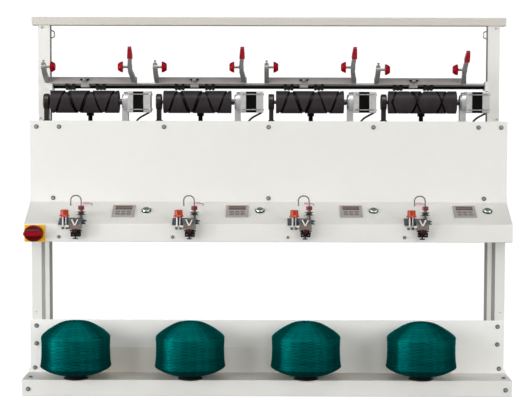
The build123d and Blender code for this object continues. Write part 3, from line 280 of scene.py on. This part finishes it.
def yarn_material():
    """Cross-wound thread: two families of fine helical threads, and the wider
    lens-shaped ribbons that they make where they cross."""
    m = Mat("teal_yarn")
    uv = m.node("ShaderNodeUVMap")
    uv.uv_map = "wind"
    sep = m.node("ShaderNodeSeparateXYZ")
    m.link(uv.outputs[0], sep.inputs[0])
    u, v = sep.outputs[0], sep.outputs[1]      # u turns, v metres along the profile

    wander = m.noise(1.0, 3.0, co=uv.outputs[0], stretch=(5.0, 26.0, 1.0))

    def lines(n, pitch, sign, phase=0.0, warp=0.0):
        a = m.math("MULTIPLY", u, float(n) * 2 * math.pi)
        b = m.math("MULTIPLY", v, sign * 2 * math.pi / pitch)
        f = m.math("ADD", m.math("ADD", a, b), phase)
        if warp:
            f = m.math("ADD", f, m.math("MULTIPLY", wander, warp))
        return m.math("SINE", f)

    fine1 = lines(104, 0.00165, 1.0)
    fine2 = lines(104, 0.00165, -1.0)
    mid1 = lines(13, 0.0122, 1.0, 0.6, 9.0)
    mid2 = lines(13, 0.0122, -1.0, 1.9, -8.0)
    thin1 = lines(23, 0.0061, 1.0, 0.2, 12.0)
    thin2 = lines(23, 0.0061, -1.0, 1.1, -10.0)
    streak = m.noise(9.0, 3.0, co=uv.outputs[0], stretch=(1.2, 120.0, 1.0))
    slow = m.noise(3.0, 2.0, co=uv.outputs[0], stretch=(1.0, 30.0, 1.0))
    pick = m.span(m.math("ADD", m.math("MULTIPLY", m.math("MULTIPLY", mid1, mid2), 0.5),
                         m.math("MULTIPLY", m.math("SUBTRACT", slow, 0.5), 1.2)), 0.0, 1.0, -0.12, 0.12)
    other = m.math("SUBTRACT", 1.0, pick)
    fine = m.math("ADD", m.math("MULTIPLY", fine1, pick), m.math("MULTIPLY", fine2, other))
    thin = m.math("ADD", m.math("MULTIPLY", thin1, pick), m.math("MULTIPLY", thin2, other))
    cross = m.math("MULTIPLY", m.math("ADD", mid1, mid2), 0.5)
    tone = m.math("ADD", m.math("ADD", m.math("MULTIPLY", fine, 0.10), m.math("MULTIPLY", thin, 0.26)),
                  m.math("ADD", m.math("MULTIPLY", cross, 0.16),
                         m.math("ADD", m.math("MULTIPLY", m.math("SUBTRACT", streak, 0.5), 1.6),
                                m.math("MULTIPLY", m.math("SUBTRACT", slow, 0.5), 0.9))))
    col = m.ramp(m.span(tone, 0.0, 1.0, -0.6, 0.6), lin((0, 46, 48)), lin((0, 108, 104)), 0.0, 1.0)
    ob = m.node("ShaderNodeSeparateXYZ")
    m.link(m.co, ob.inputs[0])
    # painted shade: the package darkens towards its bottom
    col = m.mix(m.span(ob.outputs[2], 0.4, 0.0, 0.085, 0.150), col, lin((0, 34, 36)))
    h = m.math("ADD", m.math("ADD", m.math("MULTIPLY", fine, 0.22), m.math("MULTIPLY", thin, 0.7)),
               m.math("MULTIPLY", cross, 0.7))
    tg = m.node("ShaderNodeTangent", direction_type="UV_MAP", uv_map="wind")
    m.link(tg.outputs[0], m.b.inputs["Tangent"])
    m.b.inputs["Anisotropic"].default_value = 0.85
    m.b.inputs["Anisotropic Rotation"].default_value = 0.25
    return m.set(color=col, rough=m.span(tone, 0.46, 0.38, -0.5, 0.5), metal=0.6, spec=0.0, tint=[0.0, 0.45, 0.44],
                 normal=m.bump(h, 0.6, 0.0010))


M["yarn"] = yarn_material()


def window_material():
    """Dark display window: reddish, with painted shade that makes it darker towards its lower edge."""
    m = Mat("meter_window")
    sep = m.node("ShaderNodeSeparateXYZ")
    m.link(m.co, sep.inputs[0])
    n = m.noise(60.0, 3.0)
    zc = (SL_C[1] + (92.8 - SL_C[0]) * math.tan(SLOPE)) / 1000.0
    # painted shade towards the window's lower edge
    low = m.span(sep.outputs[2], 1.0, 0.0, zc + 0.0100, zc + 0.0150)
    f = m.math("ADD", m.math("MULTIPLY", low, 0.8), m.math("MULTIPLY", n, 0.3))
    return m.set(color=m.ramp(f, lin((128, 98, 92)), lin((62, 44, 46)), 0.15, 0.95), rough=m.span(n, 0.18, 0.26), spec=0.3,
                 normal=m.bump(m.noise(900.0, 2.0), 0.02, 0.0003))


def tray_material():
    """Cream paint. The upturned back is painted lighter than the rest as painted light, with a painted highlight along
    the crease and a painted warm shade below it, strongest at the left end. The floor strip carries the same painted
    warm shade, painted lighter towards both ends."""
    m = Mat("tray_paint")
    sep = m.node("ShaderNodeSeparateXYZ")
    m.link(m.co, sep.inputs[0])
    y, z = sep.outputs[1], sep.outputs[2]
    back = m.math("GREATER_THAN", y, -0.032)
    # painted highlight: a light line along the crease of the upturned back
    line = m.math("MULTIPLY", m.span(m.math("ABSOLUTE", m.math("SUBTRACT", z, 0.1722)), 0.85, 0.0, 0.0006, 0.0030), back)
    # painted warm shade below the crease, strongest at the left end
    left = m.math("MULTIPLY", m.span(sep.outputs[0], 1.0, 0.1, -0.9, 0.3), m.span(sep.outputs[0], 0.0, 1.0, -0.90, -0.76))
    below = m.math("MULTIPLY", m.math("MULTIPLY", m.span(z, 1.0, 0.0, 0.168, 0.172), back), left)
    n1 = m.noise(3.0)
    n2 = m.noise(22.0)
    both = m.math("ADD", m.math("MULTIPLY", n1, 0.65), m.math("MULTIPLY", n2, 0.35))
    c = m.ramp(both, [v * 0.982 for v in lin((232, 231, 226))], [v * 1.018 for v in lin((232, 231, 226))], 0.3, 0.7)
    # w: the warm tone of the painted shade; b: the upturned back painted lighter as painted light
    w = m.ramp(both, [v * 0.982 for v in lin((230, 225, 214))], [v * 1.018 for v in lin((230, 225, 214))], 0.3, 0.7)
    b = m.ramp(both, [v * 0.982 for v in lin((247, 246, 242))], [v * 1.018 for v in lin((247, 246, 242))], 0.3, 0.7)
    # the floor strip takes the painted warm shade, with painted light lifting it towards both ends
    floor = m.math("MULTIPLY", m.math("MULTIPLY", m.math("GREATER_THAN", z, 0.060), m.math("LESS_THAN", z, 0.0676)),
                   m.math("GREATER_THAN", y, -0.193))
    w = m.mix(m.math("MULTIPLY", floor, m.span(sep.outputs[0], 0.0, 1.0, 0.55, 0.92)), w, lin((252, 250, 245)))
    w = m.mix(m.math("MULTIPLY", floor, m.span(sep.outputs[0], 1.0, 0.0, -0.93, -0.80)), w, lin((238, 237, 233)))
    c = m.mix(line, m.mix(m.math("MAXIMUM", below, floor), m.mix(back, c, b), w), lin((250, 250, 248)))
    return m.set(color=c, rough=m.span(both, 0.44, 0.52, 0.3, 0.7), spec=0.25,
                 normal=m.bump(m.noise(1300.0, 2.0), 0.10, 0.0003))


M["tray"] = tray_material()
M["meter_dark"] = window_material()


def gradient_plate():
    """Grey cross plate: painted shade at its top edge, painted light along its lower band."""
    m = Mat("cradle_plate")
    sep = m.node("ShaderNodeSeparateXYZ")
    m.link(m.co, sep.inputs[0])
    n = m.noise(18.0, 3.0)
    g = m.noise(900.0, 2.0)
    # painted light along the lower band, painted shade towards the top edge
    low = m.span(sep.outputs[2], 1.0, 0.0, 1.252, 1.278)
    f = m.math("ADD", m.math("MULTIPLY", low, 0.6), m.math("MULTIPLY", n, 0.5))
    return m.set(color=m.ramp(f, lin((128, 124, 122)), lin((172, 166, 163)), 0.2, 0.9), metal=0.15,
                 rough=m.span(n, 0.36, 0.48), normal=m.bump(g, 0.16, 0.0003))


M["plate"] = gradient_plate()


# ---------------------------------------------------------------- regions of the CAD nodes
def paint(node, mats, pick=None):
    """Give a CAD node its materials; pick(x, y, z, n) chooses one per face."""
    o = NODES[node]
    o.data.materials.clear()
    for k in mats:
        o.data.materials.append(M[k])
    if pick is None:
        for p in o.data.polygons:
            p.material_index = 0
        return
    for p in o.data.polygons:
        c = p.center
        p.material_index = pick(c.x * 1000.0, c.y * 1000.0 - SHIFT, c.z * 1000.0, p.normal)


def untilt(y, z, deg):
    """Take a point of a lowered cradle back to the level one."""
    a = -math.radians(deg)
    dy, dz = y - PIV_Y, z - PIV_Z
    return PIV_Y + dy * math.cos(a) - dz * math.sin(a), PIV_Z + dy * math.sin(a) + dz * math.cos(a)


for n in ("cabinet_shell", "front_panel", "control_shelf"):
    paint(n, ["cream"])
paint("tray", ["tray"])
# painted shade: the sides of the posts and frames that face the middle are painted darker, those on the right darker
# still
paint("end_frames", ["cream", "cream_painted_shade", "cream_painted_shade_right"],
      lambda x, y, z, n: (2 if x > 0 else 1) if n.x * x < 0 and abs(n.x) > 0.9 and (y > 340 or x > 0) else 0)
paint("upper_posts", ["cream", "zinc", "post_painted_shade"],
      lambda x, y, z, n: 1 if abs(x) < 919.8 else (2 if n.x * x < 0 and abs(n.x) > 0.9 else 0))
paint("top_beam", ["beam"])
paint("levelling_feet", ["zinc"])
paint("cradle_shaft", ["steel"])
paint("ball_bearings", ["steel"])
paint("support_rail", ["black"])
paint("shaft_hangers", ["black_cast"])
paint("sensor_posts", ["black"])
paint("bearing_brackets", ["brown_cast"])
paint("motor_brackets", ["alu"])
paint("motor_end_caps", ["alu_cap"])
paint("motor_stators", ["stator"])
paint("motor_cables", ["cable"])
paint("rail_end_holders", ["white"])
paint("switch_plate", ["yellow"])
# painted highlight on the knob's bar and rim, painted shade on the rest of the knob
paint("switch_knob", ["red_deep", "red"],
      lambda x, y, z, n: 1 if (abs(z - 653.5) < 7.6 and y < -18) or math.hypot((x + 930.6) / 38.8, (z - 653.5) / 32.7) > 0.93 else 0)
paint("cabinet_electrics", ["drive"])
paint("tension_plates", ["slate"])
paint("tension_caps", ["orange"])
paint("package_tubes", ["tube"])
paint("yarn_packages", ["yarn"])


def slope_uv(x, y, z, cx, cy):
    """Position on the shelf slope relative to a centre: across, up, out."""
    dz = z - (SL_C[1] + (cy - SL_C[0]) * math.tan(SLOPE))
    dy = y - cy
    return x - cx, dy * math.cos(SLOPE) + dz * math.sin(SLOPE), -dy * math.sin(SLOPE) + dz * math.cos(SLOPE)


def meter_pick(x, y, z, n):
    cx = min(METER_X, key=lambda v: abs(v - x))
    a, b, h = slope_uv(x, y, z, cx, 92.8)
    if abs(a) < 34.2 and 6.8 < b < 35.2 and 4.0 < h < 5.9:
        # painted shade: the walls of the window's recess take the dark rim paint
        return 1 if h < 4.6 else 3
    if h > 6.05:
        return 2
    return 0


paint("panel_meters", ["meter", "meter_dark", "meter_key", "painted_shade_meter_rim"], meter_pick)


def bezel_pick(x, y, z, n):
    cx = min(BUTTON_X, key=lambda v: abs(v - x))
    a, b, h = slope_uv(x, y, z, cx, 100.0)
    # the top of the bezel takes the near-white painted highlight ring paint
    return 1 if h > 6.6 else 0


paint("button_bezels", ["bezel", "ring"], bezel_pick)
for s in range(4):
    paint("push_button_%d" % (s + 1), ["green"])
    paint("tension_knob_%d" % (s + 1), ["knob"])


def clearer_pick(x, y, z, n):
    cx = min(TENSION_X, key=lambda v: abs(v + 42 - x))
    if y < -26.3 and abs(x - cx - 44) < 9 and abs(z - 667) < 9:
        return 2
    if z < 672.5:
        return 1
    return 3 if z > 696.5 or (z > 689 and abs(x - cx - 43) > 18) else 0


paint("yarn_clearers", ["clearer", "clearer_black", "dark_knob", "clearer_top"], clearer_pick)
paint("ceramic_guides", ["ceramic", "pink", "chrome", "pin_grey"],
      lambda x, y, z, n: (2 if min(abs(x - t - 66 - e) for t, e in zip(TENSION_X, EYE_DX)) > 14.6 else 1)
      if y > 100 else (3 if min(abs(x - t - 6.5) for t in TENSION_X) < 3.6 and z < 722 and y > -11.9 else 0))
paint("tension_hooks", ["chrome"])


def drum_pick(i):
    xs = STATION_X[i]

    def pick(x, y, z, n):
        r = math.hypot(y - DRUM_Y, z - DRUM_Z)
        dx = x - xs
        if r < 12.0 or dx > 140:
            return 2
        # painted shade: faces inside the groove
        if 38.0 < r < 45.3 and abs(dx) < 136.5:
            return 1
        return 0
    return pick


def cradle_pick(i):
    xs = STATION_X[i]
    hub = xs - 20.5

    def pick(x, y, z, n):
        y, z = untilt(y, z, DROP[i])
        if math.hypot(y - CONE_Y, z - CONE_Z) < 5.3 and x > xs - 167.2:
            return 2
        if z > 1335.4 and x < xs - 160:
            return 2
        if y > 357.4 and abs(x - hub) < 18:
            return 3
        if y < 350.95 and abs(x - hub) < 19.5 and 1255 < z < 1277:
            return 2 if y < 343.2 else 4
        if 350.5 < y < 357.5 and x > xs - 166:
            return 1
        return 0
    return pick


def lever_pick(i):
    xs = STATION_X[i]

    def pick(x, y, z, n):
        y, z = untilt(y, z, DROP[i])
        if (y - 217) * -0.682 + (z - 1352) * 0.731 > 4.9 and z > 1340:
            return 1
        if math.hypot(y - CONE_Y, z - CONE_Z) < 5.3 and x < xs + 168.7:
            return 2
        if y > 351.0:
            return 2
        return 0
    return pick


def cone_pick(i, side):
    base = STATION_X[i] + side * 148.5

    def pick(x, y, z, n):
        return 1 if abs(x - base) < 0.3 else 0
    return pick


for i in range(4):
    paint("drum_%d" % (i + 1), ["drum", "groove", "shaft_dark"], drum_pick(i))
    paint("cradle_%d" % (i + 1), ["cradle", "plate", "steel", "hub", "black"], cradle_pick(i))
    paint("release_arm_%d" % (i + 1), ["cradle", "grip", "steel"], lever_pick(i))
    paint("cone_left_%d" % (i + 1), ["cone", "cone_flat"], cone_pick(i, -1))
    paint("cone_right_%d" % (i + 1), ["cone", "cone_flat"], cone_pick(i, 1))

# bolts: dark washer flange and edge, bright face
BOLT_AT = []
for v in (942.5, 850.4, 424.7):
    for sx in (-1, 1):
        BOLT_AT.append((sx * v, 162.0, 1074.0, (0, -1, 0), 7.0))
BOLT_AT.append((0.0, 162.0, 1074.0, (0, -1, 0), 7.0))
for v in (-875.7, 0.0, 875.7):
    BOLT_AT.append((v, 162.0, 785.0, (0, -1, 0), 7.0))
for sx in (-1, 1):
    BOLT_AT += [(sx * 946.5 + TRAY_DX, 185.0, 257.5, (0, -1, 0), 7.0), (sx * 946.5 + TRAY_DX, 185.0, 184.0, (0, -1, 0), 7.0),
                (sx * 953.0 + TRAY_DX, 56.0, TRAY_Z, (0, 0, 1), 7.0), (sx * 953.0 + TRAY_DX, 0.0, 30.0, (0, -1, 0), 7.0),
                (sx * 953.0, 404.0, 1486.0, (0, -1, 0), 4.25), (sx * 962.0, 404.0, 1106.0, (0, -1, 0), 4.25),
                (sx * 913.0, 425.0, 1256.0, (0, 0, 1), 4.2)]
    lean = 11.0
    BOLT_AT.append((sx * 953.0 + TRAY_DX, 174.0 + lean * 18.0 / 105.0, TRAY_Z + 18.0,
                    (0, -math.cos(math.atan2(lean, 105)), math.sin(math.atan2(lean, 105))), 7.0))
for x in TENSION_X:
    BOLT_AT += [(x - 25.0, 6.0, 639.4, (0, -1, 0), 4.4 if x == TENSION_X[2] else 5.8), (x - 10.0, 6.0, 674.5, (0, -1, 0), 4.4),
                (x + 7.0, 6.0, 674.5, (0, -1, 0), 4.4)]


def bolt_pick(x, y, z, n):
    best, hit = 400.0, None
    for b in BOLT_AT:
        d = (x - b[0]) ** 2 + (y - b[1]) ** 2 + (z - b[2]) ** 2
        if d < best:
            best, hit = d, b
    if hit is None:
        return 2
    dv = (x - hit[0], y - hit[1], z - hit[2])
    h = sum(a * b for a, b in zip(dv, hit[3]))
    r = math.sqrt(max(0.0, sum(a * a for a in dv) - h * h))
    if hit[4] == 4.25 or (h > 5.3 and r < hit[4] - 2.2):
        return 1
    return 0


paint("bolts", ["bolt_dark", "bolt_head", "zinc"], bolt_pick)


# ---------------------------------------------------------------- new pieces
def new_object(name, verts, faces, mats, smooth=True):
    me = bpy.data.meshes.new(name)
    me.from_pydata(verts, [], faces)
    me.update()
    o = bpy.data.objects.new(name, me)
    bpy.context.scene.collection.objects.link(o)
    for k in mats:
        me.materials.append(M[k])
    if smooth:
        for p in me.polygons:
            p.use_smooth = True
    return o


def smooth_by_angle(o, deg=32.0):
    bpy.context.view_layer.objects.active = o
    o.select_set(True)
    bpy.ops.object.shade_smooth_by_angle(angle=math.radians(deg))
    o.select_set(False)


# yarn packages: a lathe with the thread's ribbons raised a little
YARN = [(40, 15.2), (48, 16.0), (56, 16.8), (70, 19.2), (84, 22.5), (98, 26.8), (112, 32.6), (126, 40.0), (134, 45.0),
        (139.5, 49.0), (141.4, 51.6), (141.8, 54.0), (141.0, 58.0), (140.0, 63.0), (139.2, 68), (138.2, 78), (137.4, 90),
        (136.9, 102), (136.6, 115), (136.5, 127), (136.6, 138), (137.0, 148), (137.6, 158), (138.0, 163.5),
        (138.0, 168), (137.0, 171.6), (134.4, 174.8), (129.5, 178.2), (121, 184.0), (113, 189.4), (105, 194.6),
        (97, 199.6), (89, 204.5), (81, 209.2), (73, 213.4), (66, 216.9), (60, 219.6), (54, 222.0), (48, 224.2),
        (42, 226.0), (36, 227.4), (30, 228.3), (24.5, 228.8), (20.6, 228.6), (19.7, 227.2), (19.9, 224.0)]


LIFT = [6.5, 4.5, 4.5, 3.0]
LIFT_W = [(19.0, 0.45), (30.0, 0.5), (42.0, 0.7), (54.0, 0.9), (66.0, 1.0), (113.0, 1.0), (129.5, 0.5), (136.6, 0.0)]


def lifted(pts, up):
    out = []
    for r, z in pts:
        w = 0.0
        if z > 171.7:
            w = LIFT_W[0][1] if r <= LIFT_W[0][0] else 0.0
            for (r0, w0), (r1, w1) in zip(LIFT_W, LIFT_W[1:]):
                if r0 < r <= r1:
                    w = w0 + (w1 - w0) * (r - r0) / (r1 - r0)
        out.append((r, z + up * w))
    return out


def resample(pts, step):
    out = [pts[0]]
    for a, b in zip(pts, pts[1:]):
        d = math.hypot(b[0] - a[0], b[1] - a[1])
        n = max(1, int(round(d / step)))
        for k in range(1, n + 1):
            out.append((a[0] + (b[0] - a[0]) * k / n, a[1] + (b[1] - a[1]) * k / n))
    return out


def yarn_piece(i):
    prof = resample(lifted(YARN, LIFT[i]), 3.0)
    seg = 288
    arc = [0.0]
    for a, b in zip(prof, prof[1:]):
        arc.append(arc[-1] + math.hypot(b[0] - a[0], b[1] - a[1]) / 1000.0)
    rnd = random.Random(20 + i)
    ph = [rnd.uniform(0, 6.28) for _ in range(6)]
    verts, faces = [], []
    for k, (r, z) in enumerate(prof):
        s = arc[k]
        edge = min(1.0, k / 5.0, (len(prof) - 1 - k) / 8.0)
        for j in range(seg):
            u = j / seg
            a = 2 * math.pi * u
            w1 = math.sin(13 * a + s * 2 * math.pi / 0.0122 + 0.6 + 2.5 * math.sin(2 * a + 41 * s + ph[5]))
            w2 = math.sin(13 * a - s * 2 * math.pi / 0.0122 + 1.9 + 2.5 * math.sin(3 * a - 33 * s + ph[0]))
            w3 = math.sin(5 * a + s * 2 * math.pi / 0.027 + ph[2]) + math.sin(5 * a - s * 2 * math.pi / 0.027 + ph[3])
            d = (0.14 * (w1 + w2) + 0.10 * w3 + 0.20 * math.sin(2 * a + ph[4])) * edge - 0.30
            rr = r + d
            verts.append(((rr * math.cos(a)) / 1000.0, (rr * math.sin(a)) / 1000.0, z / 1000.0))
    n = len(prof)
    for k in range(n - 1):
        for j in range(seg):
            j2 = (j + 1) % seg
            faces.append((k * seg + j, k * seg + j2, (k + 1) * seg + j2, (k + 1) * seg + j))
    # sizes for an inner wall against the tube; the wall itself is not built
    base = len(verts)
    inner = 64
    r0 = 34.15
    o = new_object("yarn_%d" % (i + 1), verts, faces, ["yarn"])
    uv = o.data.uv_layers.new(name="wind")
    for p in o.data.polygons:
        for li, vi in zip(p.loop_indices, p.vertices):
            k, j = divmod(vi, seg)
            u = j / seg
            if p.index % seg == seg - 1 and j == 0:
                u = 1.0
            uv.data[li].uv = (u, arc[k])
    o.location = P(PACKAGE_X[i], PKG_Y, TRAY_Z)
    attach(o, "machine")
    return o


YARNS = [yarn_piece(i) for i in range(4)]
for o in YARNS:
    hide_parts("yarn_packages")

# ---------------------------------------------------------------- floor, light, camera
FLOOR = [(-2.4, -2.0, 0), (2.4, -2.0, 0), (2.4, 2.0, 0), (-2.4, 2.0, 0)]
fl = new_object("studio_floor", FLOOR, [(0, 1, 2, 3)], [], smooth=False)
mf = Mat("studio_floor")
nf = mf.noise(1.2, 2.0)
mf.set(color=mf.ramp(nf, (0.84, 0.84, 0.84), (0.86, 0.86, 0.86), 0.3, 0.7), rough=0.9, spec=0.1,
       emit=(1.0, 1.0, 1.0), power=0.75)
fl.data.materials.append(mf.m)
fl.visible_diffuse = False
fl.visible_glossy = False

# a plain white studio: the backdrop reads white, its light on the machine is softer
world = bpy.data.worlds.new("studio")
bpy.context.scene.world = world
world.use_nodes = True
wt = world.node_tree
wt.nodes.clear()
wo = wt.nodes.new("ShaderNodeOutputWorld")
bg = wt.nodes.new("ShaderNodeBackground")
lp = wt.nodes.new("ShaderNodeLightPath")
wm = wt.nodes.new("ShaderNodeMapRange")
wm.inputs[3].default_value, wm.inputs[4].default_value = 0.23, 1.05
wt.links.new(lp.outputs["Is Camera Ray"], wm.inputs[0])
wt.links.new(wm.outputs[0], bg.inputs[1])
bg.inputs[0].default_value = (1.0, 1.0, 1.0, 1.0)
wt.links.new(bg.outputs[0], wo.inputs[0])


def area(name, loc, target, size, power, size_y=None):
    d = bpy.data.lights.new(name, "AREA")
    d.energy = power
    d.size = size
    if size_y:
        d.shape = "RECTANGLE"
        d.size_y = size_y
    o = bpy.data.objects.new(name, d)
    bpy.context.scene.collection.objects.link(o)
    o.location = loc
    o.rotation_euler = (Vector(target) - Vector(loc)).to_track_quat("-Z", "Y").to_euler()
    return o


area("left_key", (-4.4, -4.8, 2.1), (0.0, 0.0, 0.8), 2.6, 116, 2.4)
key2 = area("right_key", (4.2, -4.9, 2.1), (0.0, 0.0, 0.8), 2.4, 92, 2.2)
key2.visible_glossy = False
fill = area("front_fill", (0.5, -6.6, 1.5), (0.0, 0.0, 0.6), 2.2, 60, 1.8)
fill.visible_glossy = False
area("left_rim", (-4.2, -1.9, 0.8), (0.0, 0.0, 0.5), 0.5, 74, 2.0)
area("right_rim", (4.2, -1.9, 0.8), (0.0, 0.0, 0.5), 0.5, 34, 2.0)
area("top_fill", (0.0, -2.6, 3.6), (0.0, 0.0, 0.4), 3.0, 15, 1.0)
sheen = area("top_sheen", (0.0, -0.75, 2.6), (0.0, -0.25, 0.2), 3.8, 75, 0.5)
sheen.visible_diffuse = False
for name, x, y, p in (("left_sheen", -5.1, -1.8, 190), ("right_sheen", 3.9, -3.2, 30)):
    side = area(name, (x, y, 1.3), (0.0, 0.0, 0.3), 1.1, p, 2.2)
    side.visible_diffuse = False
area("back_fill", (0.0, 5.5, 2.6), (0.0, 0.0, 0.9), 2.6, 26)

cam = bpy.data.cameras.new("camera")
cam.sensor_width = 36.0
cam.lens = 1481.0 / 529.0 * 36.0
cam.clip_end = 100.0
co = bpy.data.objects.new("camera", cam)
bpy.context.scene.collection.objects.link(co)
co.location = P(0.0, -5850.0, 1159.0)
co.rotation_euler = (Matrix.Rotation(math.radians(0.153), 3, "Z") @ Matrix.Rotation(math.radians(90.0 - 3.84), 3, "X")
                     @ Matrix.Rotation(math.radians(0.13), 3, "Z")).to_euler()
cam.dof.use_dof = False
bpy.context.scene.camera = co
bpy.context.scene.view_settings.view_transform = "Standard"
